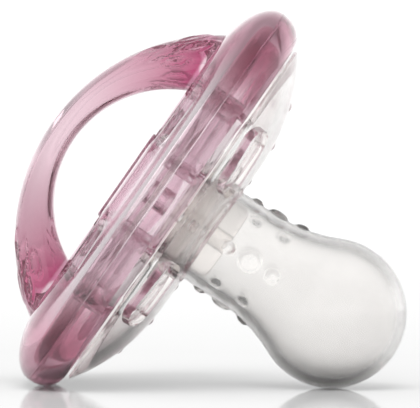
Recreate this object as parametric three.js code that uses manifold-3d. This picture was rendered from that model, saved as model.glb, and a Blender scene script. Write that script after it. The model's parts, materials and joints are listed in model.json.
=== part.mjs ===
// Pacifier: a two-shell shield with a moulded handle, a clear mouth guard and a hollow teat.
//
// All sizes are in millimetres. The pieces are made in the shield's own frame: X along its length,
// Y across it and Z along the teat, with Z = 0 at the middle of the guard's mouth face. The group
// that holds them is then leaned over to stand as the loose object does, on the lower end of its
// rim and on the bulb of its teat, with +X from the handle to the teat, +Y across and +Z up.

import * as THREE from "three";
import { mergeVertices } from "three/addons/utils/BufferGeometryUtils.js";
import Module from "manifold-3d";

const wasm = await Module();
wasm.setup();

// ---------------------------------------------------------------- driving dimensions

// The shield's outline, a squared-off oval.
const SHIELD_HALF_LENGTH = 29.05;
const SHIELD_HALF_WIDTH = 21.5;
const OUTLINE_POWER = 3.5; // 2 is an ellipse, and more is squarer
const OUTLINE_STEPS = 56;

// Front shell, which the handle is moulded on.
const FRONT_DEPTH = 4.65;
const FRONT_ROUNDING = 8.6; // how far in from the rim the front face ends
const FRONT_WALL = 2.0;

// Rear shell.
const REAR_DEPTH = 3.35;
const REAR_ROUNDING = 3.05;
const REAR_PLATE = 1.6;
const LIP_WALL = 1.0; // the lip that locates the rear shell inside the front shell
const LIP_RISE = 1.5;

// The V groove where the two shells meet.
const GROOVE_DEPTH = 0.45;
const GROOVE_RISE = 0.3;

// Handle.
const HANDLE_RIM_MARGIN = 6.65; // from the shield's rim to the handle's foot
const HANDLE_HEIGHT = 12.1;
const HANDLE_BAR = 3.75;
const HANDLE_ROOT = 8.9; // length of each foot along the front face
const HANDLE_WIDTH = 9.0;
const HANDLE_ROOT_WIDTH = 12.4;
const HANDLE_SINK = 0.9; // how deep the feet run into the front wall

// Blank badge pad in the middle of the front face.
const BADGE_LENGTH = 13.0;
const BADGE_WIDTH = 7.0;
const BADGE_RISE = 0.35;

// Breathing holes, four slots with round ends.
const VENT_LENGTH = 10.0;
const VENT_WIDTH = 5.0;
const VENT_CENTRE_X = 10.3;
const VENT_RIM_MARGIN = 6.2; // from the shield's side to the slot
const VENT_TUBE_WALL = 1.2;

// Mouth guard, a clear dish.
const GUARD_INSET = 3.05; // from the shield's rim to the guard's
const GUARD_SLOPE = 14.5; // how far in from its rim the dish rises, before its flat middle
const GUARD_DROP = 4.7;
const GUARD_WALL = 1.5;
const GUARD_RIM_WIDTH = 1.5;
const GUARD_RIM_EDGE = 0.3;

// Teat, a neck that swells into a round bulb.
const TEAT_LENGTH = 28.45;
const BULB_RADIUS = 9.83;
const NECK_RADIUS = 6.85;
const NECK_STRAIGHT = 5.5;
const TEAT_WALL = 1.3;
const TEAT_BEND = THREE.MathUtils.degToRad(1.6); // the soft neck gives under the shield's weight
const BEAD_RADIUS = 9.6;
const BEAD_THICKNESS = 2.2;

// Soft nubs on the neck: how many columns, and the height, radius and rise of each nub in one.
const NUB_COLUMNS = 4;
const MAIN_NUBS = [
  { at: 2.5, radius: 0.85, proud: 0.4 },
  { at: 5.8, radius: 1.4, proud: 0.55 },
  { at: 9.3, radius: 0.85, proud: 0.4 },
];
const SIDE_NUBS = [
  { at: 3.7, radius: 0.75, proud: 0.35 },
  { at: 7.9, radius: 0.75, proud: 0.35 },
];

// Plug that fills the neck's root and holds the bead against the guard.
const PLUG_FLANGE_RADIUS = 10.0;
const PLUG_NOSE_RISE = 7.4; // above its flange
const PLUG_NOSE_ROUNDING = 1.0;
const PLUG_AIR_RADIUS = 1.2;
const WELL_WALL = 1.2;
const WELL_FLOOR = 1.25;

// Clearances.
const JOINT_GAP = 0.3; // between faces that meet
const SIDE_GAP = 0.3; // round a piece that passes through or nests in another

// How finely round forms are divided.
const ARC_STEPS = 2; // an arc in a profile gets twice as many facets
const TEAT_ARC_STEPS = 3;
const TEAT_SIDES = 28;
const PLUG_SIDES = 24;
const SLOT_STEPS = 4;
const NUB_SIDES = 8;
const HANDLE_SIDES = 16;
const HANDLE_STEPS = 24;
const OVERCUT = 1.0; // how far a cutter runs past the face that it opens

// ---------------------------------------------------------------- places along the teat's axis

const guardHalfLength = SHIELD_HALF_LENGTH - GUARD_INSET;
const guardCurve = (GUARD_SLOPE ** 2 + GUARD_DROP ** 2) / (2 * GUARD_DROP);
const guardUnderside = -GUARD_WALL;
const collarBottom = guardHeight(SHIELD_HALF_WIDTH - BEAD_RADIUS, GUARD_WALL);
const guardSeat = -GUARD_DROP - GUARD_RIM_EDGE;
const rearBack = guardSeat - JOINT_GAP;
const rearParting = rearBack - REAR_DEPTH;
const frontParting = rearParting - JOINT_GAP;
const frontFace = frontParting - FRONT_DEPTH;
const frontCeiling = frontFace + FRONT_WALL;
const rearInside = rearBack - REAR_PLATE;
const beadTop = collarBottom - JOINT_GAP;
const beadBottom = beadTop - BEAD_THICKNESS;
const plugTop = beadBottom - JOINT_GAP;
const wellFloor = rearParting + WELL_FLOOR;
const plugBottom = wellFloor + JOINT_GAP;

const bulbCentre = TEAT_LENGTH - BULB_RADIUS;
const neckBore = NECK_RADIUS - TEAT_WALL;
const wellRadius = PLUG_FLANGE_RADIUS + SIDE_GAP;
const flatHalfLength = SHIELD_HALF_LENGTH - FRONT_ROUNDING;
const handleHalfLength = SHIELD_HALF_LENGTH - HANDLE_RIM_MARGIN;
const ventCentreY = SHIELD_HALF_WIDTH - VENT_RIM_MARGIN - VENT_WIDTH / 2;
const cavityInset = FRONT_WALL + SIDE_GAP + LIP_WALL;

// ---------------------------------------------------------------- solids from three.js shapes

/** A closed geometry as a manifold-3d solid. */
function solidOf(geometry) {
  const bare = geometry.index ? geometry.toNonIndexed() : geometry.clone();
  bare.deleteAttribute("normal");
  bare.deleteAttribute("uv");
  const merged = mergeVertices(bare, 1e-4);
  const corners = Array.from(merged.index.array);
  const triangles = [];
  for (let i = 0; i < corners.length; i += 3) {
    const [a, b, c] = corners.slice(i, i + 3);
    if (a !== b && b !== c && c !== a) triangles.push(a, b, c);
  }
  const mesh = new wasm.Mesh({
    numProp: 3,
    vertProperties: new Float32Array(merged.attributes.position.array),
    triVerts: new Uint32Array(triangles),
  });
  return new wasm.Manifold(mesh);
}

/** A manifold-3d solid as a flat-shaded geometry. */
function geometryOf(solid) {
  const mesh = solid.getMesh();
  const geometry = new THREE.BufferGeometry();
  geometry.setAttribute("position", new THREE.BufferAttribute(mesh.vertProperties, 3));
  geometry.setIndex(new THREE.BufferAttribute(mesh.triVerts, 1));
  const flat = geometry.toNonIndexed();
  flat.computeVertexNormals();
  return flat;
}

const joined = (solids) => solids.reduce((whole, solid) => whole.add(solid));

/** A round solid about Z. The profile's X is the radius and its Y is the height, going upwards. */
function turned(profile, sides) {
  const geometry = new THREE.LatheGeometry(profile, sides);
  geometry.rotateX(Math.PI / 2);
  return solidOf(geometry);
}

/** A round bar about Z from one height to another. */
function bar(radius, low, high, sides) {
  const geometry = new THREE.CylinderGeometry(radius, radius, high - low, sides);
  geometry.rotateX(Math.PI / 2);
  geometry.translate(0, 0, (low + high) / 2);
  return solidOf(geometry);
}

/** Distance from the centre to the shield's outline, moved in by inset, at an angle from +X. */
function outlineReach(angle, inset) {
  const along = Math.abs(Math.cos(angle)) / (SHIELD_HALF_LENGTH - inset);
  const across = Math.abs(Math.sin(angle)) / (SHIELD_HALF_WIDTH - inset);
  return Math.pow(along ** OUTLINE_POWER + across ** OUTLINE_POWER, -1 / OUTLINE_POWER);
}

/** The angle from +X at which a turn round the outline lies, so that its corners get more steps. */
function outlineAngle(turn) {
  const [along, across] = [Math.cos(turn), Math.sin(turn)];
  const power = 2 / OUTLINE_POWER;
  return Math.atan2(
    SHIELD_HALF_WIDTH * Math.sign(across) * Math.abs(across) ** power,
    SHIELD_HALF_LENGTH * Math.sign(along) * Math.abs(along) ** power,
  );
}

/**
 * A solid whose profile follows the shield's outline. The profile is given as it stands on the
 * long axis, with X from the centre, and each point keeps its distance in from the outline. One
 * flat facet lies across each end of the shield, which is what the lower end stands on.
 */
function swept(profile) {
  const geometry = new THREE.LatheGeometry(profile, OUTLINE_STEPS, Math.PI / OUTLINE_STEPS);
  const place = geometry.attributes.position;
  const point = new THREE.Vector3();
  for (let i = 0; i < place.count; i++) {
    point.fromBufferAttribute(place, i);
    const height = point.y;
    const radius = Math.hypot(point.x, point.z);
    const angle = outlineAngle(Math.atan2(point.x, point.z));
    const reach = radius < 1e-6 ? 0 : outlineReach(angle, SHIELD_HALF_LENGTH - radius);
    place.setXYZ(i, reach * Math.cos(angle), reach * Math.sin(angle), height);
  }
  return solidOf(geometry);
}

/** A slot with round ends along X, cut from one height to another about a centre. */
function slot(length, width, low, high, x, y) {
  const half = (length - width) / 2;
  const outline = new THREE.Shape();
  outline.absarc(half, 0, width / 2, -Math.PI / 2, Math.PI / 2);
  outline.absarc(-half, 0, width / 2, Math.PI / 2, (3 * Math.PI) / 2);
  const options = { depth: high - low, bevelEnabled: false, curveSegments: SLOT_STEPS };
  const geometry = new THREE.ExtrudeGeometry(outline, options);
  geometry.translate(x, y, low);
  return solidOf(geometry);
}

/** The four breathing slots, or their tubes when grown by a wall, from one height to another. */
function vents(low, high, wall = 0) {
  const each = [];
  for (const x of [-VENT_CENTRE_X, VENT_CENTRE_X]) {
    for (const y of [-ventCentreY, ventCentreY]) {
      each.push(slot(VENT_LENGTH + 2 * wall, VENT_WIDTH + 2 * wall, low, high, x, y));
    }
  }
  return joined(each);
}

/** A ball whose cap of the given radius and rise stands out of a surface at a point. */
function nub(point, outward, radius, proud) {
  const ball = (radius ** 2 + proud ** 2) / (2 * proud);
  const geometry = new THREE.SphereGeometry(ball, NUB_SIDES, NUB_SIDES);
  const centre = point.clone().addScaledVector(outward, proud - ball);
  const upright = new THREE.Vector3(0, 1, 0);
  geometry.applyQuaternion(new THREE.Quaternion().setFromUnitVectors(upright, outward));
  geometry.translate(centre.x, centre.y, centre.z);
  return solidOf(geometry);
}

// ---------------------------------------------------------------- the pieces

/** Distance to a circular arch from the middle of its foot line, at an angle from that line. */
function archReach(angle, halfLength, height) {
  const radius = (halfLength ** 2 + height ** 2) / (2 * height);
  const below = radius - height;
  const up = Math.sin(angle);
  return Math.sqrt((below * up) ** 2 + radius ** 2 - below ** 2) - below * up;
}

/** The handle: a bar swept between two round arches, the lower one round its opening. */
function handle() {
  const openingHalf = handleHalfLength - HANDLE_ROOT;
  const openingHeight = HANDLE_HEIGHT - HANDLE_BAR;
  const sinkAngle = Math.asin(HANDLE_SINK / handleHalfLength);
  const geometry = new THREE.CylinderGeometry(1, 1, 1, HANDLE_SIDES, HANDLE_STEPS);
  const place = geometry.attributes.position;
  for (let i = 0; i < place.count; i++) {
    const share = place.getY(i) + 0.5;
    const angle = THREE.MathUtils.lerp(-sinkAngle, Math.PI + sinkAngle, share);
    const [cos, sin] = [Math.cos(angle), Math.sin(angle)];
    const inner = archReach(angle, openingHalf, openingHeight);
    const outer = archReach(angle, handleHalfLength, HANDLE_HEIGHT);
    const spread = Math.abs(cos) ** 4;
    const width = THREE.MathUtils.lerp(HANDLE_WIDTH, HANDLE_ROOT_WIDTH, spread);
    const [u, v] = roundedSection(place.getX(i), place.getZ(i));
    const reach = (inner + outer) / 2 + (u * (outer - inner)) / 2;
    place.setXYZ(i, reach * cos, (v * width) / 2, frontFace - reach * sin);
  }
  return solidOf(geometry);
}

/** Moves a point of the unit circle out towards a square with well rounded corners. */
function roundedSection(x, y) {
  const power = 2.6;
  const size = Math.hypot(x, y);
  if (size < 1e-6) return [0, 0];
  const angle = Math.atan2(y, x);
  const across = Math.abs(Math.cos(angle)) ** power + Math.abs(Math.sin(angle)) ** power;
  const reach = size * across ** (-1 / power);
  return [reach * Math.cos(angle), reach * Math.sin(angle)];
}

/** Half-length of the front shell's hollow at a height: straight, then rounded to the ceiling. */
function frontBoreAt(height) {
  const roundTop = frontParting - GROOVE_RISE;
  const share = Math.max(0, roundTop - height) / (roundTop - frontCeiling);
  return flatHalfLength + (FRONT_ROUNDING - FRONT_WALL) * Math.sqrt(1 - share ** 2);
}

/** Front shell, open at the back, with its vent tubes, its badge pad and the handle. */
function frontShell() {
  const outside = new THREE.Path();
  outside.moveTo(0, frontFace);
  outside.lineTo(flatHalfLength, frontFace);
  const roundTop = frontParting - GROOVE_RISE;
  outside.absellipse(flatHalfLength, roundTop, FRONT_ROUNDING, roundTop - frontFace, -Math.PI / 2, 0);
  outside.lineTo(SHIELD_HALF_LENGTH - GROOVE_DEPTH, frontParting);
  outside.lineTo(0, frontParting);
  const inside = new THREE.Path();
  const innerRounding = FRONT_ROUNDING - FRONT_WALL;
  const innerRise = roundTop - frontCeiling;
  inside.moveTo(0, frontCeiling);
  inside.lineTo(flatHalfLength, frontCeiling);
  inside.absellipse(flatHalfLength, roundTop, innerRounding, innerRise, -Math.PI / 2, 0);
  inside.lineTo(SHIELD_HALF_LENGTH - FRONT_WALL, frontParting + OVERCUT);
  inside.lineTo(0, frontParting + OVERCUT);
  const badge = slot(BADGE_LENGTH, BADGE_WIDTH, frontFace - BADGE_RISE, frontCeiling, 0, 0);
  return swept(outside.getPoints(ARC_STEPS))
    .subtract(swept(inside.getPoints(ARC_STEPS)))
    .add(vents(frontCeiling - FRONT_WALL / 2, frontParting, VENT_TUBE_WALL))
    .add(badge)
    .add(handle())
    .subtract(vents(frontFace - OVERCUT, frontParting + OVERCUT));
}

/** Rear shell: a plate with a rounded edge, a locating lip, vent tubes and a well for the plug. */
function rearShell() {
  const outside = new THREE.Path();
  const roundBottom = rearParting + GROOVE_RISE;
  outside.moveTo(0, rearParting);
  outside.lineTo(SHIELD_HALF_LENGTH - GROOVE_DEPTH, rearParting);
  outside.lineTo(SHIELD_HALF_LENGTH, roundBottom);
  const edgeCentre = SHIELD_HALF_LENGTH - REAR_ROUNDING;
  outside.absellipse(edgeCentre, roundBottom, REAR_ROUNDING, rearBack - roundBottom, 0, Math.PI / 2);
  outside.lineTo(0, rearBack);
  const lipTop = rearParting - LIP_RISE;
  const lip = [
    new THREE.Vector2(0, lipTop),
    new THREE.Vector2(frontBoreAt(lipTop) - SIDE_GAP, lipTop),
    new THREE.Vector2(frontBoreAt(rearParting) - SIDE_GAP, rearParting),
    new THREE.Vector2(frontBoreAt(rearParting) - SIDE_GAP, rearInside),
    new THREE.Vector2(0, rearInside),
  ];
  const cavity = [
    new THREE.Vector2(0, lipTop - OVERCUT),
    new THREE.Vector2(SHIELD_HALF_LENGTH - cavityInset, lipTop - OVERCUT),
    new THREE.Vector2(SHIELD_HALF_LENGTH - cavityInset, rearInside),
    new THREE.Vector2(0, rearInside),
  ];
  return swept(outside.getPoints(ARC_STEPS))
    .add(swept(lip))
    .subtract(swept(cavity))
    .subtract(vents(lipTop - OVERCUT, rearParting, VENT_TUBE_WALL + SIDE_GAP))
    .add(vents(rearParting, rearInside + REAR_PLATE / 2, VENT_TUBE_WALL))
    .add(bar(wellRadius + WELL_WALL, rearParting, rearInside + REAR_PLATE / 2, PLUG_SIDES))
    .subtract(bar(wellRadius, wellFloor, rearBack + OVERCUT, PLUG_SIDES))
    .subtract(bar(PLUG_AIR_RADIUS, rearParting - OVERCUT, rearBack, NUB_SIDES))
    .subtract(vents(lipTop - OVERCUT, rearBack + OVERCUT));
}

/** Height of the guard's dish, a wall below its mouth face, at a distance in from the outline. */
function guardHeight(inset, wall = 0) {
  const out = Math.max(0, GUARD_INSET + GUARD_SLOPE - inset);
  return Math.sqrt((guardCurve - wall) ** 2 - out ** 2) - guardCurve;
}

/** Mouth guard: a thin dish with a hole for the neck, a collar behind it and breathing slots. */
function mouthGuard() {
  const flatHalf = guardHalfLength - GUARD_SLOPE;
  const centre = [flatHalf, -guardCurve];
  const upright = Math.PI / 2;
  const outerEnd = Math.acos(GUARD_SLOPE / guardCurve);
  const outside = new THREE.Path();
  outside.moveTo(0, guardSeat);
  outside.lineTo(guardHalfLength - GUARD_RIM_EDGE, guardSeat);
  outside.absarc(...centre, guardCurve, outerEnd, upright);
  outside.lineTo(0, 0);
  const innerCurve = guardCurve - GUARD_WALL;
  const rimEnd = Math.acos((GUARD_SLOPE - GUARD_RIM_EDGE - GUARD_RIM_WIDTH) / innerCurve);
  const innerEnd = Math.max(rimEnd, Math.asin((guardSeat + guardCurve) / innerCurve));
  const inside = new THREE.Path();
  inside.moveTo(0, guardSeat - OVERCUT);
  inside.lineTo(flatHalf + innerCurve * Math.cos(innerEnd), guardSeat - OVERCUT);
  inside.absarc(...centre, innerCurve, innerEnd, upright);
  inside.lineTo(0, guardUnderside);
  return swept(outside.getPoints(ARC_STEPS))
    .subtract(swept(inside.getPoints(ARC_STEPS)))
    .add(bar(BEAD_RADIUS, collarBottom, guardUnderside / 2, TEAT_SIDES))
    .subtract(bar(NECK_RADIUS + SIDE_GAP, guardSeat, OVERCUT, TEAT_SIDES))
    .subtract(vents(guardSeat - OVERCUT, OVERCUT));
}

/** The neck's outward curve into the bulb: an arc tangent to both, as its centre and turn. */
function neckCurve(neck, bulb) {
  const rise = bulbCentre - NECK_STRAIGHT;
  const radius = (rise ** 2 + neck ** 2 - bulb ** 2) / (2 * (bulb - neck));
  const turn = Math.atan2(rise, neck + radius);
  return { radius, centre: neck + radius, turn };
}

/** A round form about Z: a straight neck from its bottom, a curve outwards and a round bulb. */
function neckAndBulb(neck, bulb, bottom) {
  const curve = neckCurve(neck, bulb);
  const profile = new THREE.Path();
  profile.moveTo(0, bottom);
  profile.lineTo(neck, bottom);
  profile.absarc(curve.centre, NECK_STRAIGHT, curve.radius, Math.PI, Math.PI - curve.turn, true);
  profile.absarc(0, bulbCentre, bulb, -curve.turn, Math.PI / 2);
  return turned(profile.getPoints(TEAT_ARC_STEPS), TEAT_SIDES);
}

/** Teat: hollow and open at the root, with a bead there and soft nubs round its neck. */
function teat() {
  return neckAndBulb(NECK_RADIUS, BULB_RADIUS, beadTop - BEAD_THICKNESS / 2)
    .add(bar(BEAD_RADIUS, beadBottom, beadTop, TEAT_SIDES))
    .add(joined(teatNubs()))
    .subtract(neckAndBulb(neckBore, BULB_RADIUS - TEAT_WALL, beadBottom - OVERCUT))
    .warp(bend);
}

/** Turns a point of the teat towards +X, by more and more up the neck's straight part. */
function bend(point) {
  const [x, , z] = point;
  const turn = TEAT_BEND * THREE.MathUtils.clamp(z / NECK_STRAIGHT, 0, 1);
  point[0] = x * Math.cos(turn) + z * Math.sin(turn);
  point[2] = z * Math.cos(turn) - x * Math.sin(turn);
}

/** Radius of the teat's outside at a height on its neck. */
function neckRadiusAt(height) {
  const curve = neckCurve(NECK_RADIUS, BULB_RADIUS);
  const above = Math.max(0, height - NECK_STRAIGHT);
  return curve.centre - Math.sqrt(curve.radius ** 2 - above ** 2);
}

/** The nubs on the neck, in columns that alternate between three nubs and two. */
function teatNubs() {
  const nubs = [];
  for (let column = 0; column < 2 * NUB_COLUMNS; column++) {
    const angle = (column * Math.PI) / NUB_COLUMNS;
    const outward = new THREE.Vector3(Math.cos(angle), Math.sin(angle), 0);
    for (const { at, radius, proud } of column % 2 ? SIDE_NUBS : MAIN_NUBS) {
      const place = outward.clone().multiplyScalar(neckRadiusAt(at)).setZ(at);
      nubs.push(nub(place, outward, radius, proud));
    }
  }
  return nubs;
}

/** Plug: a flange that backs the bead, and a nose that fills the neck's root round an air hole. */
function teatPlug() {
  const nose = neckBore - SIDE_GAP;
  const top = plugTop + PLUG_NOSE_RISE;
  const profile = new THREE.Path();
  profile.moveTo(PLUG_AIR_RADIUS, plugBottom);
  profile.lineTo(PLUG_FLANGE_RADIUS, plugBottom);
  profile.lineTo(PLUG_FLANGE_RADIUS, plugTop);
  profile.lineTo(nose, plugTop);
  const corner = nose - PLUG_NOSE_ROUNDING;
  profile.absarc(corner, top - PLUG_NOSE_ROUNDING, PLUG_NOSE_ROUNDING, 0, Math.PI / 2);
  profile.lineTo(PLUG_AIR_RADIUS, top);
  profile.lineTo(PLUG_AIR_RADIUS, plugBottom);
  return turned(profile.getPoints(ARC_STEPS), PLUG_SIDES);
}

// ---------------------------------------------------------------- the assembly

/** How far a plane that leans over touches the rim's rear rounding, measured from the centre. */
function rimSupport(lean) {
  const roundBottom = rearParting + GROOVE_RISE;
  const along = REAR_ROUNDING * Math.cos(lean);
  const up = (rearBack - roundBottom) * Math.sin(lean);
  const centre = (SHIELD_HALF_LENGTH - REAR_ROUNDING) * Math.cos(lean) + roundBottom * Math.sin(lean);
  return centre + Math.hypot(along, up);
}

/** The shield's lean when one flat surface touches both its rim and the teat's bulb. */
function restingLean() {
  let [low, high] = [0, Math.PI / 2];
  for (let i = 0; i < 40; i++) {
    const middle = (low + high) / 2;
    const bulbSupport = bulbCentre * Math.sin(middle - TEAT_BEND) + BULB_RADIUS;
    if (rimSupport(middle) > bulbSupport) low = middle;
    else high = middle;
  }
  return low;
}

const pinkPlastic = { color: 0xd98aa8, roughness: 0.08, metalness: 0 };
const clearPlastic = { color: 0xe9e6e4, roughness: 0.06, metalness: 0 };
const silicone = { color: 0xf1efec, roughness: 0.28, metalness: 0 };

const pieces = [
  { name: "front_shell", solid: frontShell(), look: pinkPlastic },
  { name: "rear_shell", solid: rearShell(), look: pinkPlastic },
  { name: "mouth_guard", solid: mouthGuard(), look: clearPlastic },
  { name: "teat", solid: teat(), look: silicone },
  { name: "teat_plug", solid: teatPlug(), look: clearPlastic },
];

// Turned half over about X, the teat's axis points down. The lean then brings it up to its rest.
const turnedOver = new THREE.Group();
turnedOver.rotation.x = Math.PI;
for (const { name, solid, look } of pieces) {
  const mesh = new THREE.Mesh(geometryOf(solid), new THREE.MeshStandardMaterial(look));
  mesh.name = name;
  turnedOver.add(mesh);
}

const leaning = new THREE.Group();
leaning.rotation.y = restingLean() - Math.PI / 2;
leaning.add(turnedOver);

const pacifier = new THREE.Group();
pacifier.add(leaning);
pacifier.updateMatrixWorld(true);
const box = new THREE.Box3().setFromObject(pacifier, true);
const middle = box.getCenter(new THREE.Vector3());
leaning.position.set(-middle.x, -middle.y, -box.min.z);

export default pacifier;
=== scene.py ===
"""The finish of a clear pink pacifier: two welded shells with a handle, a clear guard and a teat.

Every sub-assembly is a class that holds its sizes in millimetres. It builds its meshes in the
shield's own frame, with X along the shield, Y across it and Z along the teat from the middle of
the guard's mouth face, and then places them in the object's frame.
"""

import json
import logging
import math
from dataclasses import dataclass, field, replace
from enum import Enum
from typing import Callable, Iterable, Optional

import bmesh
import bpy
from mathutils import Matrix, Vector


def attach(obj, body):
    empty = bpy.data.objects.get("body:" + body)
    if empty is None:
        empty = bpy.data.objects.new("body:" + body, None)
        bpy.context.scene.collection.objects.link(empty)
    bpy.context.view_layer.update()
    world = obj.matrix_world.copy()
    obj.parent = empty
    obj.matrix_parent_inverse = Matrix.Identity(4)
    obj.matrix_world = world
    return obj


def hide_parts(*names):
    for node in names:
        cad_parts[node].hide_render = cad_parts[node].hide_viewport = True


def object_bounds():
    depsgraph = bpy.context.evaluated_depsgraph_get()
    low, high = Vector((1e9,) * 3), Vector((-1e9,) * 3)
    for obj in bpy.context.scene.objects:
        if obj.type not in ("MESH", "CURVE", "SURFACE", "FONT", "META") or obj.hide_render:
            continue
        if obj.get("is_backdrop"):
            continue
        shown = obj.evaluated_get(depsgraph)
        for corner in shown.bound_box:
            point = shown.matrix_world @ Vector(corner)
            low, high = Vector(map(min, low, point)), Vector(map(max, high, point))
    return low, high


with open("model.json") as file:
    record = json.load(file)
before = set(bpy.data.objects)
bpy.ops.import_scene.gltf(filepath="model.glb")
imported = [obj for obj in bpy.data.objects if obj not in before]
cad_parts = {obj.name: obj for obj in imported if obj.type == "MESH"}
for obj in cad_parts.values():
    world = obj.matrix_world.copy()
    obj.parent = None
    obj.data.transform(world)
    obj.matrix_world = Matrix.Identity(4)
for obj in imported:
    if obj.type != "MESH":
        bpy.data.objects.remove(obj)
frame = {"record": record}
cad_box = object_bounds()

log = logging.getLogger("pacifier")

MM = 0.001
FULL_TURN = 2.0 * math.pi
# The point layer that carries the painted shade of the pink pieces: a deeper tint where light runs
# a longer way through the plastic.
PAINTED_SHADE_LAYER = "painted_path_shade"

# How far a cutting form runs past the face that it cuts, in millimetres.
OVERRUN = 1.0
# Points nearer than this are one point, in millimetres.
MERGE_WITHIN = 1e-4

Contour = list[tuple[float, float]]


# ------------------------------------------------------------------ places in the object


class Slot(Enum):
    """The record's material slots."""

    PINK = "pink_plastic"
    CLEAR = "clear_plastic"
    SILICONE = "silicone"


@dataclass(frozen=True)
class Levels:
    """Heights of the faces along the teat's axis, and half the seam's width, in millimetres."""

    guard_seat: float = -5.0
    rear_back: float = -5.3
    rear_inside: float = -6.9
    rear_parting: float = -8.94
    front_parting: float = -8.95
    front_ceiling: float = -11.6
    front_face: float = -13.6
    badge_face: float = -13.95
    seam_half: float = 0.04


LEVELS = Levels()


def shield_placement() -> Matrix:
    """The matrix from the shield's frame in millimetres to the object's frame in metres.

    Returns:
        A matrix that scales, turns and moves, read from the badge's mount.
    """
    mount = frame["record"]["mounts"][0]
    teat_way = -Vector(mount["axis"]).normalized()
    across = Vector((0.0, -1.0, 0.0))
    along = across.cross(teat_way)
    turn = Matrix((along, across, teat_way)).transposed().to_4x4()
    badge = Vector(mount["pos_m"])
    centre = badge - teat_way * LEVELS.badge_face * MM
    return Matrix.Translation(centre) @ turn @ Matrix.Scale(MM, 4)


# ------------------------------------------------------------------ outlines and meshes


@dataclass(frozen=True)
class Outline:
    """The shield's outline, a squared-off oval."""

    half_length: float = 29.05
    half_width: float = 21.5
    power: float = 3.5
    steps: int = 160

    def reach(self, angle: float, inset: float) -> float:
        """Distance from the centre to the outline moved in, at an angle from +X.

        Args:
            angle: The angle from +X in radians.
            inset: How far in from the outline, in millimetres.

        Returns:
            The distance in millimetres.
        """
        along = abs(math.cos(angle)) / (self.half_length - inset)
        across = abs(math.sin(angle)) / (self.half_width - inset)
        return (along**self.power + across**self.power) ** (-1.0 / self.power)

    def angle_at(self, turn: float) -> float:
        """The angle from +X that a share of a turn stands for, with more steps in the corners.

        Args:
            turn: The angle of the plain turned form, in radians.

        Returns:
            The angle on the outline in radians.
        """
        power = 2.0 / self.power
        along = math.copysign(abs(math.cos(turn)) ** power, math.cos(turn))
        across = math.copysign(abs(math.sin(turn)) ** power, math.sin(turn))
        return math.atan2(self.half_width * across, self.half_length * along)

    def swept(self, contour: Contour) -> bmesh.types.BMesh:
        """A closed form whose contour follows the outline.

        Args:
            contour: Points on the long axis, each a distance from the centre and a height.

        Returns:
            The new mesh, in millimetres.
        """
        bm = turned(contour, self.steps)
        for vert in bm.verts:
            radius = math.hypot(vert.co.x, vert.co.y)
            if radius < 1e-5:
                continue
            angle = self.angle_at(math.atan2(vert.co.y, vert.co.x))
            reach = self.reach(angle, self.half_length - radius)
            vert.co.x = reach * math.cos(angle)
            vert.co.y = reach * math.sin(angle)
        bmesh.ops.recalc_face_normals(bm, faces=bm.faces)
        return bm


def arc(
    centre: tuple[float, float],
    size: tuple[float, float],
    start: float,
    end: float,
    steps: int,
) -> Contour:
    """Points along an elliptical arc.

    Args:
        centre: The ellipse's centre.
        size: Its half-sizes outwards and upwards.
        start: The first angle in degrees, from outwards towards upwards.
        end: The last angle in degrees.
        steps: How many stretches the arc is divided into.

    Returns:
        The points, with both ends.
    """
    points = []
    for i in range(steps + 1):
        angle = math.radians(start + (end - start) * i / steps)
        points.append(
            (centre[0] + size[0] * math.cos(angle), centre[1] + size[1] * math.sin(angle))
        )
    return points


def turned(contour: Contour, steps: int, closed: bool = False) -> bmesh.types.BMesh:
    """A round form about Z.

    Args:
        contour: Points as distance from the axis and height.
        steps: How many stretches go round.
        closed: Whether the last point joins the first, as on a ring.

    Returns:
        The new mesh, with its doubles merged and its faces outwards.
    """
    bm = bmesh.new()
    verts = [bm.verts.new((x, 0.0, z)) for x, z in contour]
    edges = [bm.edges.new(pair) for pair in zip(verts, verts[1:])]
    if closed:
        edges.append(bm.edges.new((verts[-1], verts[0])))
    bmesh.ops.spin(
        bm,
        geom=verts + edges,
        cent=(0.0, 0.0, 0.0),
        axis=(0.0, 0.0, 1.0),
        angle=FULL_TURN,
        steps=steps,
        use_merge=True,
    )
    bmesh.ops.remove_doubles(bm, verts=bm.verts, dist=MERGE_WITHIN)
    bmesh.ops.recalc_face_normals(bm, faces=bm.faces)
    return bm


def bar(radius: float, low: float, high: float, steps: int = 96) -> bmesh.types.BMesh:
    """A round bar about Z from one height to another.

    Args:
        radius: The bar's radius.
        low: The height of its lower end.
        high: The height of its upper end.
        steps: How many stretches go round.

    Returns:
        The new mesh.
    """
    return turned([(0.0, low), (radius, low), (radius, high), (0.0, high)], steps)


def slot(
    length: float,
    width: float,
    low: float,
    high: float,
    centre: tuple[float, float],
    edge: float = 0.0,
) -> bmesh.types.BMesh:
    """An upright block with round ends along X.

    Args:
        length: Its whole length.
        width: Its width, and the diameter of its ends.
        low: The height of its lower face.
        high: The height of its upper face.
        centre: Where its middle is.
        edge: The radius along the edges of its lower face.

    Returns:
        The new mesh.
    """
    bm = bmesh.new()
    bmesh.ops.create_circle(bm, cap_ends=True, radius=width / 2, segments=48)
    half = (length - width) / 2
    for vert in bm.verts:
        vert.co.x += half if vert.co.x > 0 else -half
        vert.co.z = low
    base = bm.faces[:]
    grown = bmesh.ops.extrude_face_region(bm, geom=base)
    lifted = [item for item in grown["geom"] if isinstance(item, bmesh.types.BMVert)]
    bmesh.ops.translate(bm, verts=lifted, vec=(0.0, 0.0, high - low))
    bmesh.ops.recalc_face_normals(bm, faces=bm.faces)
    if edge > 0.0:
        rim = [e for e in bm.edges if all(abs(v.co.z - low) < 1e-6 for v in e.verts)]
        bmesh.ops.bevel(
            bm,
            geom=rim,
            offset=edge,
            offset_type="OFFSET",
            affect="EDGES",
            segments=3,
            profile=0.5,
            material=-1,
        )
    bmesh.ops.translate(bm, verts=bm.verts, vec=(centre[0], centre[1], 0.0))
    return bm


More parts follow.
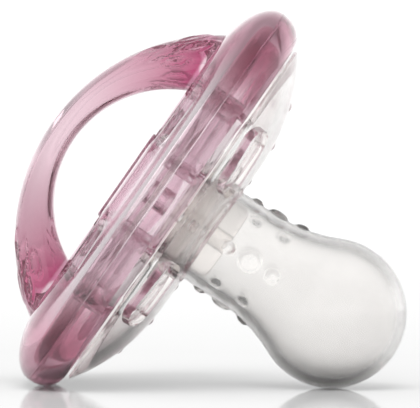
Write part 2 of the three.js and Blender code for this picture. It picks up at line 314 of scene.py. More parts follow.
def mesh_of(bm: bmesh.types.BMesh, name: str) -> bpy.types.Mesh:
    """Turns a bmesh into a mesh and frees it.

    Args:
        bm: The bmesh, which can't be used afterwards.
        name: The mesh's name.

    Returns:
        The new mesh.
    """
    mesh = bpy.data.meshes.new(name)
    bm.to_mesh(mesh)
    bm.free()
    return mesh


class Join(Enum):
    """How one solid acts on another."""

    ADD = "UNION"
    CUT = "DIFFERENCE"


class Workpiece:
    """A closed mesh that other closed meshes are added to or cut from."""

    def __init__(self, name: str, bm: bmesh.types.BMesh) -> None:
        """Starts from a first form.

        Args:
            name: The piece's name.
            bm: Its first form, in millimetres.
        """
        self.name = name
        self.mesh = mesh_of(bm, name)

    def _join(self, bm: bmesh.types.BMesh, how: Join) -> "Workpiece":
        """Adds or cuts one form.

        Args:
            bm: A closed form, which can't be used afterwards.
            how: Whether it is added or cut.

        Returns:
            The workpiece.
        """
        scene = bpy.context.scene
        work = bpy.data.objects.new("work", self.mesh)
        tool = bpy.data.objects.new("tool", mesh_of(bm, "tool"))
        for thing in (work, tool):
            scene.collection.objects.link(thing)
        step = work.modifiers.new("join", "BOOLEAN")
        step.operation = how.value
        step.solver = "MANIFOLD"
        step.object = tool
        graph = bpy.context.evaluated_depsgraph_get()
        made = bpy.data.meshes.new_from_object(work.evaluated_get(graph))
        for thing in (work, tool):
            spent = thing.data
            bpy.data.objects.remove(thing)
            bpy.data.meshes.remove(spent)
        made.name = self.name
        self.mesh = made
        return self

    def add(self, *forms: bmesh.types.BMesh) -> "Workpiece":
        """Adds forms one after another.

        Args:
            forms: Closed forms, which can't be used afterwards.

        Returns:
            The workpiece.
        """
        for bm in forms:
            self._join(bm, Join.ADD)
        return self

    def cut(self, *forms: bmesh.types.BMesh) -> "Workpiece":
        """Cuts forms away one after another.

        Args:
            forms: Closed forms, which can't be used afterwards.

        Returns:
            The workpiece.
        """
        for bm in forms:
            self._join(bm, Join.CUT)
        return self


@dataclass(frozen=True)
class PaintedPathShade:
    """Painted shade: how deep the pink is laid by place, most at the shield's ends and at the
    handle's roots, standing in for the longer way that light runs through the plastic there.
    """

    shield_from: float = 12.0
    shield_over: float = 12.0
    shield_least: float = 0.03
    shield_gain: float = 0.62
    handle_clear_of: float = 0.4
    handle_over: float = 11.0
    handle_least: float = 0.27
    handle_gain: float = 0.73
    handle_fade: float = 0.9

    def at(self, x: float, z: float) -> float:
        """The painted shade's depth at a point of a pink piece.

        Args:
            x: The point's place along the shield, in millimetres.
            z: Its height along the teat's axis, in millimetres.

        Returns:
            The share of the deep tint of painted shade, from 0 to 1.
        """
        if z < LEVELS.front_face - self.handle_clear_of:
            off = min(1.0, max(0.0, (LEVELS.front_face - z) / self.handle_over))
            return self.handle_least + self.handle_gain * (1.0 - off) ** self.handle_fade
        out = min(1.0, max(0.0, (abs(x) - self.shield_from) / self.shield_over))
        return self.shield_least + self.shield_gain * out * out * (3.0 - 2.0 * out)

    def lay(self, mesh: bpy.types.Mesh) -> None:
        """Lays the painted shade's depth on a mesh's points, for the pink finish to read.

        Args:
            mesh: A pink piece in the shield's frame, in millimetres.
        """
        layer = mesh.attributes.new(PAINTED_SHADE_LAYER, "FLOAT", "POINT")
        shade_depths = [self.at(vert.co.x, vert.co.z) for vert in mesh.vertices]
        layer.data.foreach_set("value", shade_depths)


@dataclass
class Assembler:
    """Puts finished meshes in the scene as pieces that ride on the object's body."""

    placement: Matrix
    body: str = "root"

    def place(
        self,
        mesh: bpy.types.Mesh,
        name: str,
        material: bpy.types.Material,
        finish: Slot,
        node: Optional[str] = None,
        sharp: float = 32.0,
    ) -> bpy.types.Object:
        """Places one piece.

        Args:
            mesh: The piece in the shield's frame, in millimetres.
            name: The piece's name.
            material: Its material.
            finish: The record's slot that its finish belongs to.
            node: The solid that it stands for, if it does.
            sharp: The angle in degrees past which an edge stays crisp.

        Returns:
            The new object.
        """
        # Pink pieces carry the painted shade that deepens the pink at the shield's ends and the
        # handle's roots.
        if finish is Slot.PINK:
            PaintedPathShade().lay(mesh)
        mesh.transform(self.placement)
        mesh.polygons.foreach_set("use_smooth", [True] * len(mesh.polygons))
        mesh.set_sharp_from_angle(angle=math.radians(sharp))
        mesh.materials.clear()
        mesh.materials.append(material)
        piece = bpy.data.objects.new(name, mesh)
        bpy.context.scene.collection.objects.link(piece)
        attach(piece, self.body)
        if node:
            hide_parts(node)
        log.info("%s: %d faces", name, len(mesh.polygons))
        return piece


# ------------------------------------------------------------------ finishes


def moulded_skin() -> bpy.types.ShaderNodeTree:
    """The shared effect of a moulded surface: soft flow marks and a fine, uneven haze.

    Returns:
        The node group, with a roughness, a mask for the tint and a height for a Bump node.
    """
    group = bpy.data.node_groups.new("moulded_skin", "ShaderNodeTree")
    for name in ("Scale", "Smooth", "Hazed"):
        group.interface.new_socket(name, in_out="INPUT", socket_type="NodeSocketFloat")
    for name in ("Roughness", "Tint", "Height"):
        group.interface.new_socket(name, in_out="OUTPUT", socket_type="NodeSocketFloat")
    nodes, links = group.nodes, group.links
    inlet = nodes.new("NodeGroupInput")
    outlet = nodes.new("NodeGroupOutput")
    place = nodes.new("ShaderNodeTexCoord")
    flow = nodes.new("ShaderNodeTexNoise")
    flow.inputs["Detail"].default_value = 3.0
    flow.inputs["Roughness"].default_value = 0.55
    flow.inputs["Distortion"].default_value = 0.6
    fine = nodes.new("ShaderNodeTexNoise")
    fine.inputs["Detail"].default_value = 4.0
    finer = nodes.new("ShaderNodeMath")
    finer.operation = "MULTIPLY"
    finer.inputs[1].default_value = 9.0
    haze = nodes.new("ShaderNodeMapRange")
    haze.inputs["From Min"].default_value = 0.35
    haze.inputs["From Max"].default_value = 0.75
    links.new(place.outputs["Object"], flow.inputs["Vector"])
    links.new(place.outputs["Object"], fine.inputs["Vector"])
    links.new(inlet.outputs["Scale"], flow.inputs["Scale"])
    links.new(inlet.outputs["Scale"], finer.inputs[0])
    links.new(finer.outputs[0], fine.inputs["Scale"])
    links.new(fine.outputs["Fac"], haze.inputs["Value"])
    links.new(inlet.outputs["Smooth"], haze.inputs["To Min"])
    links.new(inlet.outputs["Hazed"], haze.inputs["To Max"])
    links.new(haze.outputs["Result"], outlet.inputs["Roughness"])
    links.new(flow.outputs["Fac"], outlet.inputs["Tint"])
    links.new(flow.outputs["Fac"], outlet.inputs["Height"])
    return group


@dataclass(frozen=True)
class ClearFinish:
    """A moulding you can see through, with its colour in its depth.

    The colour of the light that gets through falls with the distance inside the material, so a
    thin wall looks pale and a long way along the rim looks deep. When a deep tint is given, a
    painted shade laid by place deepens the pink further where light runs a longer way.
    """

    name: str
    light: tuple[float, float, float]
    dark: tuple[float, float, float]
    depth_colour: tuple[float, float, float]
    depth_density: float
    ior: float
    smooth: float
    hazed: float
    grain: float
    bump: float
    clarity: float = 1.0
    coat: float = 0.0
    # The tint of the painted shade laid by place, if any.
    deep: Optional[tuple[float, float, float]] = None

    def build(self, skin: bpy.types.ShaderNodeTree) -> bpy.types.Material:
        """Makes the material.

        Args:
            skin: The shared moulded surface.

        Returns:
            The new material.
        """
        material = bpy.data.materials.new(self.name)
        material.use_nodes = True
        nodes, links = material.node_tree.nodes, material.node_tree.links
        shader = nodes["Principled BSDF"]
        shader.inputs["Transmission Weight"].default_value = self.clarity
        shader.inputs["Metallic"].default_value = 0.0
        shader.inputs["IOR"].default_value = self.ior
        shader.inputs["Coat Weight"].default_value = self.coat
        surface = nodes.new("ShaderNodeGroup")
        surface.node_tree = skin
        surface.inputs["Scale"].default_value = self.grain
        surface.inputs["Smooth"].default_value = self.smooth
        surface.inputs["Hazed"].default_value = self.hazed
        tint = nodes.new("ShaderNodeMix")
        tint.data_type = "RGBA"
        tint.inputs["A"].default_value = (*self.light, 1.0)
        tint.inputs["B"].default_value = (*self.dark, 1.0)
        relief = nodes.new("ShaderNodeBump")
        relief.inputs["Strength"].default_value = self.bump
        relief.inputs["Distance"].default_value = 0.05 * MM
        links.new(surface.outputs["Tint"], tint.inputs["Factor"])
        colour = tint.outputs["Result"]
        # Painted shade: mix in the deep tint where the layer says the pink is deep, standing in
        # for the longer way light runs through the plastic.
        if self.deep:
            painted_shade_read = nodes.new("ShaderNodeAttribute")
            painted_shade_read.attribute_name = PAINTED_SHADE_LAYER
            painted_shade_mix = nodes.new("ShaderNodeMix")
            painted_shade_mix.data_type = "RGBA"
            painted_shade_mix.inputs["B"].default_value = (*self.deep, 1.0)
            links.new(painted_shade_read.outputs["Fac"], painted_shade_mix.inputs["Factor"])
            links.new(colour, painted_shade_mix.inputs["A"])
            colour = painted_shade_mix.outputs["Result"]
        links.new(colour, shader.inputs["Base Color"])
        links.new(surface.outputs["Roughness"], shader.inputs["Roughness"])
        links.new(surface.outputs["Height"], relief.inputs["Height"])
        links.new(relief.outputs["Normal"], shader.inputs["Normal"])
        depth = nodes.new("ShaderNodeVolumeAbsorption")
        depth.inputs["Color"].default_value = (*self.depth_colour, 1.0)
        depth.inputs["Density"].default_value = self.depth_density
        links.new(depth.outputs["Volume"], nodes["Material Output"].inputs["Volume"])
        return material


PINK_PLASTIC = ClearFinish(
    name="pink_plastic",
    light=(0.95, 0.915, 0.93),
    dark=(0.90, 0.85, 0.872),
    # Painted shade: the deep tint laid at the shield's ends and the handle's roots.
    deep=(0.40, 0.04, 0.145),
    depth_colour=(0.66, 0.0, 0.28),
    depth_density=13.0,
    ior=1.45,
    smooth=0.04,
    hazed=0.09,
    grain=90.0,
    bump=0.25,
)

CLEAR_PLASTIC = ClearFinish(
    name="clear_plastic",
    light=(0.96, 0.945, 0.935),
    dark=(0.92, 0.905, 0.895),
    depth_colour=(0.75, 0.66, 0.60),
    depth_density=7.0,
    clarity=0.995,
    ior=1.33,
    smooth=0.06,
    hazed=0.14,
    grain=80.0,
    bump=0.2,
)

PLUG_PLASTIC = replace(CLEAR_PLASTIC, name="plug_plastic", clarity=1.0, ior=1.12)

SILICONE = ClearFinish(
    name="silicone",
    light=(0.985, 0.975, 0.965),
    dark=(0.965, 0.955, 0.945),
    depth_colour=(0.62, 0.55, 0.48),
    depth_density=12.0,
    clarity=0.97,
    ior=1.3,
    coat=0.3,
    smooth=0.16,
    hazed=0.22,
    grain=70.0,
    bump=0.3,
)


# ------------------------------------------------------------------ sub-assemblies


@dataclass
class Vents:
    """The four breathing slots, which run through both shells and the guard."""

    length: float = 10.0
    width: float = 5.0
    along: float = 10.3
    across: float = 12.8
    tube_wall: float = 1.2
    gap: float = 0.3

    def each(self, low: float, high: float, wall: float = 0.0) -> list[bmesh.types.BMesh]:
        """The slots, or their tubes when grown by a wall, from one height to another.

        Args:
            low: The height of the lower end.
            high: The height of the upper end.
            wall: How much wider than the slot on every side.

        Returns:
            Four meshes.
        """
        made = []
        for x in (-self.along, self.along):
            for y in (-self.across, self.across):
                size = (self.length + 2 * wall, self.width + 2 * wall)
                made.append(slot(*size, low, high, (x, y)))
        return made


@dataclass(frozen=True)
class Petal:
    """One raised loop of the handle's relief, an oval line laid on the bar."""

    from_root: float
    round_bar: float
    long: float
    wide: float
    turn: float

    def rise(self, along: float, round_bar: float, line: float) -> float:
        """How far the loop stands out at a point, from 0 to 1.

        Args:
            along: Distance from the bar's root.
            round_bar: Distance round the bar from its outer line.
            line: Half the width of the raised line.

        Returns:
            The share of the line's full height.
        """
        x, y = along - self.from_root, round_bar - self.round_bar
        cos, sin = math.cos(self.turn), math.sin(self.turn)
        u, v = x * cos + y * sin, y * cos - x * sin
        size = math.hypot(u / self.long, v / self.wide)
        off = abs(size - 1.0) * min(self.long, self.wide)
        if off >= line:
            return 0.0
        return 0.5 + 0.5 * math.cos(math.pi * off / line)


@dataclass
class Handle:
    """The arch moulded on the front shell, with a relief of loops at each root."""

    half_length: float = 22.4
    height: float = 12.1
    bar_depth: float = 3.75
    root_length: float = 8.9
    width: float = 9.0
    root_width: float = 12.4
    root_flare: int = 4
    sink: float = 0.9
    squareness: float = 2.6
    sides: int = 144
    rows: int = 220
    root_crowding: float = 0.0225
    relief_end: float = 16.0
    relief_height: float = 0.2
    relief_line: float = 0.34
    petals: list[Petal] = field(default_factory=list)

    def __post_init__(self) -> None:
        """Lays the loops out on both flanks of the bar."""
        for side in (-1.0, 1.0):
            self.petals += [
                Petal(1.8, side * 4.6, 1.3, 0.9, side * 0.3),
                Petal(2.6, side * 2.2, 1.4, 0.8, side * 0.7),
                Petal(3.2, side * 7.0, 1.3, 0.8, side * -0.6),
                Petal(4.3, side * 4.6, 1.5, 0.8, side * 0.2),
                Petal(5.8, side * 3.0, 1.1, 0.6, side * -0.4),
            ]

    @staticmethod
    def arch(angle: float, half_length: float, height: float) -> float:
        """Distance to a round arch from the middle of its foot line.

        Args:
            angle: The angle from the foot line in radians.
            half_length: Half the arch's length.
            height: The arch's height.

        Returns:
            The distance in millimetres.
        """
        radius = (half_length**2 + height**2) / (2.0 * height)
        below = radius - height
        up = math.sin(angle)
        return math.sqrt((below * up) ** 2 + radius**2 - below**2) - below * up

    def section(self, turn: float) -> tuple[float, float]:
        """A point of the bar's section, a circle pushed out towards a square.

        Args:
            turn: The angle round the bar, from its outer line.

        Returns:
            Shares of the half-depth and of the half-width.
        """
        cos, sin = math.cos(turn), math.sin(turn)
        grow = (abs(cos) ** self.squareness + abs(sin) ** self.squareness) ** (
            -1.0 / self.squareness
        )
        return grow * cos, grow * sin

    def form(self) -> bmesh.types.BMesh:
        """The whole bar, closed, with its relief.

        Returns:
            The new mesh.
        """
        bm = bmesh.new()
        bmesh.ops.create_grid(bm, x_segments=self.sides, y_segments=self.rows, size=0.5)
        sunk = math.asin(self.sink / self.half_length)
        opening = self.half_length - self.root_length
        for vert in bm.verts:
            turn = FULL_TURN * (vert.co.x + 0.5)
            share = vert.co.y + 0.5
            share += self.root_crowding * math.sin(2.0 * FULL_TURN * share)
            angle = -sunk + (math.pi + 2.0 * sunk) * share
            cos, sin = math.cos(angle), math.sin(angle)
            inner = self.arch(angle, opening, self.height - self.bar_depth)
            outer = self.arch(angle, self.half_length, self.height)
            width = self.width + (self.root_width - self.width) * abs(cos) ** self.root_flare
            deep, wide = self.section(turn)
            along = min(angle, math.pi - angle) * (inner + outer) / 2.0
            round_bar = math.remainder(turn, FULL_TURN) * (width + outer - inner) / 4.0
            proud = self.relief_height * self.relief(along, round_bar)
            reach = (inner + outer + deep * (outer - inner)) / 2.0 + proud * math.cos(turn)
            half = wide * width / 2.0 + proud * math.sin(turn)
            vert.co = (reach * cos, half, LEVELS.front_face - reach * sin)
        bmesh.ops.remove_doubles(bm, verts=bm.verts, dist=MERGE_WITHIN)
        rims = [edge for edge in bm.edges if edge.is_boundary]
        bmesh.ops.holes_fill(bm, edges=rims, sides=0)
        bmesh.ops.recalc_face_normals(bm, faces=bm.faces)
        return bm

    def relief(self, along: float, round_bar: float) -> float:
        """Height of the relief at a point of the bar, from 0 to 1.

        Args:
            along: Distance from the nearer root.
            round_bar: Distance round the bar from its outer line.

        Returns:
            The share of the relief's full height.
        """
        if along > self.relief_end:
            return 0.0
        return max(petal.rise(along, round_bar, self.relief_line) for petal in self.petals)


@dataclass
class FrontShell:
    """The hollow front shell, with vent tubes, a blank badge pad and the handle."""

    outline: Outline
    vents: Vents
    handle: Handle
    rounding: float = 8.6
    wall: float = 2.0
    seam_depth: float = 0.05
    badge_length: float = 13.0
    badge_width: float = 7.0
    badge_edge: float = 0.2

    def bore_at(self, height: float) -> float:
        """Half-length of the hollow at a height.

        Args:
            height: The height in millimetres.

        Returns:
            The distance from the centre.
        """
        top = LEVELS.front_parting - LEVELS.seam_half
        share = max(0.0, top - height) / (top - LEVELS.front_ceiling)
        flat = self.outline.half_length - self.rounding
        return flat + (self.rounding - self.wall) * math.sqrt(max(0.0, 1.0 - share**2))

    def build(self) -> bpy.types.Mesh:
        """Makes the shell in the shield's frame.

        Returns:
            The new mesh.
        """
        full, flat = self.outline.half_length, self.outline.half_length - self.rounding
        top = LEVELS.front_parting - LEVELS.seam_half
        outside = [(0.0, LEVELS.front_face)]
        outside += arc((flat, top), (self.rounding, top - LEVELS.front_face), -90.0, 0.0, 20)
        outside += [(full - self.seam_depth, LEVELS.front_parting), (0.0, LEVELS.front_parting)]
        inner = self.rounding - self.wall
        inside = [(0.0, LEVELS.front_ceiling)]
        inside += arc((flat, top), (inner, top - LEVELS.front_ceiling), -90.0, 0.0, 14)
        past = LEVELS.front_parting + OVERRUN
        inside += [(full - self.wall, past), (0.0, past)]
        low, high = LEVELS.front_ceiling - self.wall / 2.0, LEVELS.front_parting
        badge = slot(
            self.badge_length,
            self.badge_width,
            LEVELS.badge_face,
            LEVELS.front_ceiling,
            (0.0, 0.0),
            self.badge_edge,
        )
        work = Workpiece("front_shell", self.outline.swept(outside))
        work.cut(self.outline.swept(inside))
        work.add(*self.vents.each(low, high, self.vents.tube_wall), badge, self.handle.form())
        work.cut(*self.vents.each(LEVELS.front_face - OVERRUN, past))
        return work.mesh


@dataclass
class RearShell:
    """The rear shell: a plate with a rounded edge, a locating lip and a well for the plug."""

    outline: Outline
    vents: Vents
    front: FrontShell
    rounding: float = 3.05
    seam_depth: float = 0.05
    lip_wall: float = 1.0
    lip_rise: float = 1.5
    side_gap: float = 0.3
    well_radius: float = 10.3
    well_wall: float = 1.2
    well_floor: float = 1.25
    air_radius: float = 1.2
    plate_bite: float = 0.8

    def build(self) -> bpy.types.Mesh:
        """Makes the shell in the shield's frame.

        Returns:
            The new mesh.
        """
        full = self.outline.half_length
        bottom = LEVELS.rear_parting + LEVELS.seam_half
        outside = [(0.0, LEVELS.rear_parting), (full - self.seam_depth, LEVELS.rear_parting)]
        outside += arc(
            (full - self.rounding, bottom),
            (self.rounding, LEVELS.rear_back - bottom),
            0.0,
            90.0,
            14,
        )
        outside += [(0.0, LEVELS.rear_back)]
        lip_top = LEVELS.rear_parting - self.lip_rise
        under, above = lip_top - OVERRUN, LEVELS.rear_back + OVERRUN
        lip_edge = self.front.bore_at(LEVELS.rear_parting) - self.side_gap
        lip = [
            (0.0, lip_top),
            (self.front.bore_at(lip_top) - self.side_gap, lip_top),
            (lip_edge, LEVELS.rear_parting),
            (lip_edge, LEVELS.rear_inside),
            (0.0, LEVELS.rear_inside),
        ]
        hollow = full - self.front.wall - self.side_gap - self.lip_wall
        cavity = [
            (0.0, under),
            (hollow, under),
            (hollow, LEVELS.rear_inside),
            (0.0, LEVELS.rear_inside),
        ]
        tube = self.vents.tube_wall
        high = LEVELS.rear_inside + self.plate_bite
        work = Workpiece("rear_shell", self.outline.swept(outside))
        work.add(self.outline.swept(lip)).cut(self.outline.swept(cavity))
        work.cut(*self.vents.each(under, LEVELS.rear_parting, tube + self.vents.gap))
        work.add(*self.vents.each(LEVELS.rear_parting, high, tube))
        work.add(bar(self.well_radius + self.well_wall, LEVELS.rear_parting, high))
        floor = LEVELS.rear_parting + self.well_floor
        work.cut(bar(self.well_radius, floor, above))
        work.cut(bar(self.air_radius, LEVELS.rear_parting - OVERRUN, LEVELS.rear_back, 32))
        work.cut(*self.vents.each(under, above))
        return work.mesh


@dataclass
class MouthGuard:
    """The clear dish that lies against the mouth, with small nubs round the teat's root."""

    outline: Outline
    vents: Vents
    inset: float = 3.05
    slope: float = 14.5
    drop: float = 4.7
    wall: float = 1.5
    rim_width: float = 1.5
    rim_edge: float = 0.3
    collar_radius: float = 9.6
    hole_radius: float = 7.15
    nub_radius: float = 0.65
    nub_rise: float = 0.22
    nub_places: tuple[tuple[float, float], ...] = (
        (8.4, 0.0),
        (13.9, 0.0),
        (19.2, 0.0),
        (0.0, 9.2),
        (0.0, 14.6),
        (6.6, 6.6),
    )

    def height_at(self, inset: float, wall: float = 0.0) -> float:
        """Height of the dish at a distance in from the outline.

        Args:
            inset: The distance in millimetres.
            wall: How far under the mouth face.

        Returns:
            The height in millimetres.
        """
        curve = self.curve
        out = max(0.0, self.inset + self.slope - inset)
        return math.sqrt((curve - wall) ** 2 - out**2) - curve

    @property
    def curve(self) -> float:
        """Radius of the dish's slope.

        Returns:
            The radius in millimetres.
        """
        return (self.slope**2 + self.drop**2) / (2.0 * self.drop)

    def nubs(self) -> Iterable[bmesh.types.BMesh]:
        """Each small nub as a ball sunk in the dish.

        Returns:
            The balls.
        """
        ball = (self.nub_radius**2 + self.nub_rise**2) / (2.0 * self.nub_rise)
        places = {(sx * x, sy * y) for x, y in self.nub_places for sx in (-1, 1) for sy in (-1, 1)}
        for x, y in sorted(places):
            inset = min(self.outline.half_length - abs(x), self.outline.half_width - abs(y))
            bm = bmesh.new()
            bmesh.ops.create_uvsphere(bm, u_segments=28, v_segments=20, radius=ball)
            up = self.height_at(inset) + self.nub_rise - ball
            bmesh.ops.translate(bm, verts=bm.verts, vec=(x, y, up))
            yield bm

    def build(self) -> bpy.types.Mesh:
        """Makes the guard in the shield's frame.

        Returns:
            The new mesh.
        """
        half = self.outline.half_length - self.inset
        flat, curve, seat = half - self.slope, self.curve, LEVELS.guard_seat
        end = math.degrees(math.acos(self.slope / curve))
        outside = [(0.0, seat), (half - self.rim_edge, seat)]
        outside += arc((flat, -curve), (curve, curve), end, 90.0, 20)
        outside += [(0.0, 0.0)]
        inner = curve - self.wall
        rim = math.acos((self.slope - self.rim_edge - self.rim_width) / inner)
        start = max(rim, math.asin((seat + curve) / inner))
        inside = [(0.0, seat - OVERRUN), (flat + inner * math.cos(start), seat - OVERRUN)]
        inside += arc((flat, -curve), (inner, inner), math.degrees(start), 90.0, 20)
        inside += [(0.0, -self.wall)]
        collar = self.height_at(self.outline.half_width - self.collar_radius, self.wall)
        work = Workpiece("mouth_guard", self.outline.swept(outside))
        work.cut(self.outline.swept(inside))
        work.add(bar(self.collar_radius, collar, -self.wall / 2.0))
        work.cut(bar(self.hole_radius, seat, OVERRUN))
        work.cut(*self.vents.each(seat - OVERRUN, OVERRUN))
        work.add(*self.nubs())
        return work.mesh


@dataclass(frozen=True)
class Nub:
    """One soft nub on the teat's neck."""

    height: float
    angle: float
    radius: float
    proud: float


@dataclass
class Teat:
    """The hollow silicone teat: a bead, a neck with nubs and a round bulb."""

    length: float = 28.45
    bulb: float = 9.83
    neck: float = 6.85
    straight: float = 5.5
    wall: float = 1.3
    bend: float = math.radians(1.6)
    bead_radius: float = 9.6
    bead_thickness: float = 2.2
    bead_edge: float = 0.5
    bead_top: float = -2.5
    steps: int = 216
    neck_rows: float = 1.3
    nubbed_from: float = 1.0
    nubbed_to: float = 11.0
    nub_flatness: float = 2.6
    nub_shoulder: float = 0.8
    skin_depth: float = 0.05
    columns: int = 4
    main: tuple[tuple[float, float, float], ...] = (
        (2.5, 0.9, 0.42),
        (5.8, 1.45, 0.58),
        (9.3, 0.95, 0.42),
    )
    side: tuple[tuple[float, float, float], ...] = ((3.7, 0.8, 0.38), (7.9, 0.8, 0.38))

    def nubs(self) -> list[Nub]:
        """The nubs in their columns, three and two by turns.

        Returns:
            Every nub of the neck.
        """
        made = []
        for column in range(2 * self.columns):
            angle = column * math.pi / self.columns
            rows = self.side if column % 2 else self.main
            made += [Nub(height, angle, radius, proud) for height, radius, proud in rows]
        return made

    def neck_and_bulb(self, inset: float, bottom: float, fine: int) -> Contour:
        """The outside, or the bore when moved in, from the root to the tip.

        Args:
            inset: How far in from the outside.
            bottom: The height where the neck starts.
            fine: How many stretches go up the neck's curve.

        Returns:
            The contour from the root to the tip.
        """
        neck, bulb = self.neck - inset, self.bulb - inset
        centre = self.length - self.bulb
        rise = centre - self.straight
        radius = (rise**2 + neck**2 - bulb**2) / (2.0 * (bulb - neck))
        turn = math.degrees(math.atan2(rise, neck + radius))
        rows = max(2, round((self.straight - bottom) / rise * fine * self.neck_rows))
        points = [
            (neck, bottom + (self.straight - bottom) * i / rows) for i in range(rows)
        ]
        points += arc((neck + radius, self.straight), (radius, radius), 180.0, 180.0 - turn, fine)
        points += arc((0.0, centre), (bulb, bulb), -turn, 90.0, fine)[1:]
        points[-1] = (0.0, self.length - inset)
        return points

    def swell(self, bm: bmesh.types.BMesh) -> None:
        """Raises the nubs on the neck's outside.

        Args:
            bm: The teat's mesh.
        """
        nubs = self.nubs()
        for vert in bm.verts:
            x, y, z = vert.co
            radius = math.hypot(x, y)
            if not self.nubbed_from < z < self.nubbed_to or radius < self.neck - self.skin_depth:
                continue
            angle = math.atan2(y, x)
            for nub in nubs:
                across = math.remainder(angle - nub.angle, FULL_TURN) * radius
                off = math.hypot(across, z - nub.height) / nub.radius
                if off < 1.0:
                    proud = nub.proud * (1.0 - off**self.nub_flatness) ** self.nub_shoulder
                    vert.co.x += proud * math.cos(angle)
                    vert.co.y += proud * math.sin(angle)

    def lean(self, bm: bmesh.types.BMesh) -> None:
        """Turns the soft neck a little under the shield's weight.

        Args:
            bm: The teat's mesh.
        """
        for vert in bm.verts:
            turn = self.bend * min(1.0, max(0.0, vert.co.z / self.straight))
            x, z = vert.co.x, vert.co.z
            vert.co.x = x * math.cos(turn) + z * math.sin(turn)
            vert.co.z = z * math.cos(turn) - x * math.sin(turn)

    def build(self) -> bpy.types.Mesh:
        """Makes the teat in the shield's frame.

        Returns:
            The new mesh.
        """
        bottom, edge = self.bead_top - self.bead_thickness, self.bead_edge
        bead = arc((self.bead_radius - edge, bottom + edge), (edge, edge), -90.0, 0.0, 5)
        bead += arc((self.bead_radius - edge, self.bead_top - edge), (edge, edge), 0.0, 90.0, 5)
        outside = self.neck_and_bulb(0.0, self.bead_top, 44)
        inside = self.neck_and_bulb(self.wall, bottom, 24)
        contour = bead + outside + list(reversed(inside))
        bm = turned(contour, self.steps, closed=True)
        self.swell(bm)
        self.lean(bm)
        bmesh.ops.recalc_face_normals(bm, faces=bm.faces)
        return mesh_of(bm, "teat")


@dataclass
class Plug:
    """The clear plug that holds the bead and fills the neck's root."""

    flange: float = 10.0
    nose: float = 5.25
    bottom: float = -7.1
    top: float = -5.0
    rise: float = 7.4
    rounding: float = 1.0
    air: float = 1.2
    edge: float = 0.3

    def build(self) -> bpy.types.Mesh:
        """Makes the plug in the shield's frame.

        Returns:
            The new mesh.
        """
        tip = self.top + self.rise
        contour = [(self.air, self.bottom)]
        centre = (self.flange - self.edge, self.bottom + self.edge)
        contour += arc(centre, (self.edge, self.edge), -90.0, 0.0, 4)
        centre = (self.flange - self.edge, self.top - self.edge)
        contour += arc(centre, (self.edge, self.edge), 0.0, 90.0, 4)
        contour += [(self.nose, self.top)]
        centre = (self.nose - self.rounding, tip - self.rounding)
        contour += arc(centre, (self.rounding, self.rounding), 0.0, 90.0, 8)
        contour += [(self.air, tip)]
        return mesh_of(turned(contour, 96, closed=True), "teat_plug")


# ------------------------------------------------------------------ the studio


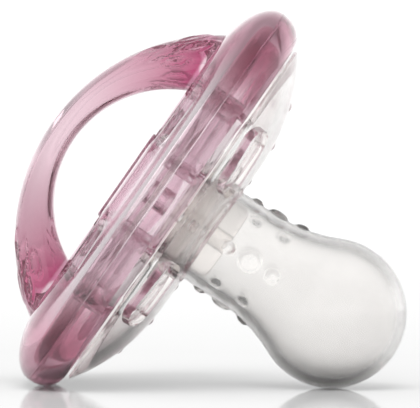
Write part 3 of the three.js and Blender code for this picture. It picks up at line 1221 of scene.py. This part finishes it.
@dataclass
class Studio:
    """A white table under a pale sky, with soft boxes, and the camera."""

    aim: Vector = field(default_factory=lambda: Vector((-0.0002, 0.0, 0.0239)))
    azimuth: float = 0.3
    elevation: float = 2.0
    roll: float = -0.7
    distance: float = 0.9
    focal_pixels_per_metre: float = 7642.0
    picture_width: float = 420.0
    sensor: float = 36.0
    sky_stops: tuple[tuple[float, float], ...] = (
        (0.0, 1.0),
        (0.14, 1.0),
        (0.3, 0.7),
        (0.6, 0.45),
        (0.9, 0.75),
    )
    sky_strength: float = 1.2
    bounces: int = 40
    table_half_size: float = 6.0

    def floor(self) -> None:
        """Lays the table, white and polished, with a glow that grows away from the object."""
        bm = bmesh.new()
        bmesh.ops.create_grid(bm, x_segments=1, y_segments=1, size=self.table_half_size)
        table = bpy.data.objects.new("table", mesh_of(bm, "table"))
        bpy.context.scene.collection.objects.link(table)
        material = bpy.data.materials.new("table_white")
        material.use_nodes = True
        nodes, links = material.node_tree.nodes, material.node_tree.links
        shader = nodes["Principled BSDF"]
        shader.inputs["Base Color"].default_value = (0.76, 0.76, 0.76, 1.0)
        shader.inputs["Specular IOR Level"].default_value = 0.0
        shader.inputs["Emission Color"].default_value = (1.0, 1.0, 1.0, 1.0)
        place = nodes.new("ShaderNodeTexCoord")
        away = nodes.new("ShaderNodeVectorMath")
        away.operation = "LENGTH"
        glow = nodes.new("ShaderNodeMapRange")
        glow.inputs["From Min"].default_value = 0.08
        glow.inputs["From Max"].default_value = 0.7
        glow.inputs["To Min"].default_value = 0.02
        glow.inputs["To Max"].default_value = 0.8
        links.new(place.outputs["Object"], away.inputs[0])
        links.new(away.outputs["Value"], glow.inputs["Value"])
        links.new(glow.outputs["Result"], shader.inputs["Emission Strength"])
        polish = nodes.new("ShaderNodeBsdfGlossy")
        polish.inputs["Roughness"].default_value = 0.05
        grazing = nodes.new("ShaderNodeFresnel")
        grazing.inputs["IOR"].default_value = 1.2
        share = nodes.new("ShaderNodeMath")
        share.operation = "MULTIPLY"
        share.inputs[1].default_value = 0.75
        both = nodes.new("ShaderNodeMixShader")
        links.new(grazing.outputs["Fac"], share.inputs[0])
        links.new(share.outputs[0], both.inputs["Fac"])
        links.new(shader.outputs["BSDF"], both.inputs[1])
        links.new(polish.outputs["BSDF"], both.inputs[2])
        links.new(both.outputs["Shader"], nodes["Material Output"].inputs["Surface"])
        table.data.materials.append(material)
        table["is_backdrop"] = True

    def sky(self) -> None:
        """Lights everything from a sky that is white at the horizon and greyer overhead."""
        world = bpy.data.worlds.new("studio")
        world.use_nodes = True
        nodes, links = world.node_tree.nodes, world.node_tree.links
        way = nodes.new("ShaderNodeTexCoord")
        split = nodes.new("ShaderNodeSeparateXYZ")
        ramp = nodes.new("ShaderNodeValToRGB")
        ends = (self.sky_stops[0], self.sky_stops[-1])
        for stop, (position, level) in zip(ramp.color_ramp.elements, ends):
            stop.position = position
            stop.color = (level, level, level, 1.0)
        for position, level in self.sky_stops[1:-1]:
            stop = ramp.color_ramp.elements.new(position)
            stop.color = (level, level, level, 1.0)
        links.new(way.outputs["Generated"], split.inputs["Vector"])
        links.new(split.outputs["Z"], ramp.inputs["Fac"])
        links.new(ramp.outputs["Color"], nodes["Background"].inputs["Color"])
        nodes["Background"].inputs["Strength"].default_value = self.sky_strength
        bpy.context.scene.world = world

    def soft_box(
        self, name: str, place: Vector, size: tuple[float, float], power: float, mirrored: bool
    ) -> None:
        """Hangs one soft box that faces the object.

        Args:
            name: The light's name.
            place: Where it hangs, in metres.
            size: Its width and height in metres.
            power: Its power in watts.
            mirrored: Whether glossy and clear surfaces show its image.
        """
        light = bpy.data.lights.new(name, "AREA")
        light.shape = "RECTANGLE"
        light.size, light.size_y = size
        light.energy = power
        lamp = bpy.data.objects.new(name, light)
        lamp.location = place
        lamp.visible_glossy = mirrored
        lamp.visible_transmission = mirrored
        lamp.rotation_euler = (self.aim - place).to_track_quat("-Z", "Y").to_euler()
        bpy.context.scene.collection.objects.link(lamp)

    def camera(self) -> None:
        """Sets the camera at the side of the object, low and far."""
        azimuth, elevation = math.radians(self.azimuth), math.radians(self.elevation)
        back = Vector(
            (
                math.sin(azimuth) * math.cos(elevation),
                -math.cos(azimuth) * math.cos(elevation),
                math.sin(elevation),
            )
        )
        lens = bpy.data.cameras.new("camera")
        lens.sensor_width = self.sensor
        focal_pixels = self.focal_pixels_per_metre * self.distance
        lens.lens = focal_pixels / self.picture_width * self.sensor
        lens.clip_start = 0.01
        lens.clip_end = 50.0
        camera = bpy.data.objects.new("camera", lens)
        turn = (-back).to_track_quat("-Z", "Y").to_matrix()
        roll = Matrix.Rotation(math.radians(-self.roll), 3, "Z")
        camera.matrix_world = Matrix.Translation(self.aim + back * self.distance) @ (
            turn @ roll
        ).to_4x4()
        bpy.context.scene.collection.objects.link(camera)
        bpy.context.scene.camera = camera

    def build(self) -> None:
        """Sets the whole studio up."""
        self.floor()
        self.sky()
        self.soft_box("top", Vector((-0.05, -0.4, 0.8)), (0.6, 0.6), 5.0, False)
        self.soft_box("strip", Vector((-0.63, 0.25, 0.45)), (0.34, 0.12), 0.15, True)
        self.camera()
        paths = bpy.context.scene.cycles
        paths.max_bounces = self.bounces
        paths.transmission_bounces = self.bounces
        paths.glossy_bounces = self.bounces
        paths.caustics_refractive = False
        view = bpy.context.scene.view_settings
        view.view_transform = "Standard"
        view.look = "None"


# ------------------------------------------------------------------ the object


@dataclass
class Pacifier:
    """The whole object."""

    assembler: Assembler
    outline: Outline = field(default_factory=Outline)
    vents: Vents = field(default_factory=Vents)

    def build(self) -> None:
        """Builds each sub-assembly in its finish."""
        skin = moulded_skin()
        pink = PINK_PLASTIC.build(skin)
        clear = CLEAR_PLASTIC.build(skin)
        silicone = SILICONE.build(skin)
        core = PLUG_PLASTIC.build(skin)
        front = FrontShell(self.outline, self.vents, Handle())
        rear = RearShell(self.outline, self.vents, front)
        guard = MouthGuard(self.outline, self.vents)
        pieces: list[tuple[Callable[[], bpy.types.Mesh], str, bpy.types.Material, Slot]] = [
            (front.build, "front_shell", pink, Slot.PINK),
            (rear.build, "rear_shell", pink, Slot.PINK),
            (guard.build, "mouth_guard", clear, Slot.CLEAR),
            (Teat().build, "teat", silicone, Slot.SILICONE),
            (Plug().build, "teat_plug", core, Slot.CLEAR),
        ]
        for make, node, material, finish in pieces:
            self.assembler.place(make(), f"{node}_finished", material, finish, node)


def write_sizes() -> None:
    """Works out the solid model's box and the finished model's box, but keeps neither."""
    boxes = {"cad": cad_box, "visual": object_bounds()}
    {name: [list(p) for p in box] for name, box in boxes.items()}


def main() -> None:
    """Builds the object and the studio round it."""
    logging.basicConfig(level=logging.INFO, format="%(name)s: %(message)s")
    Pacifier(Assembler(shield_placement())).build()
    Studio().build()
    write_sizes()


if __name__ == "__main__":
    main()
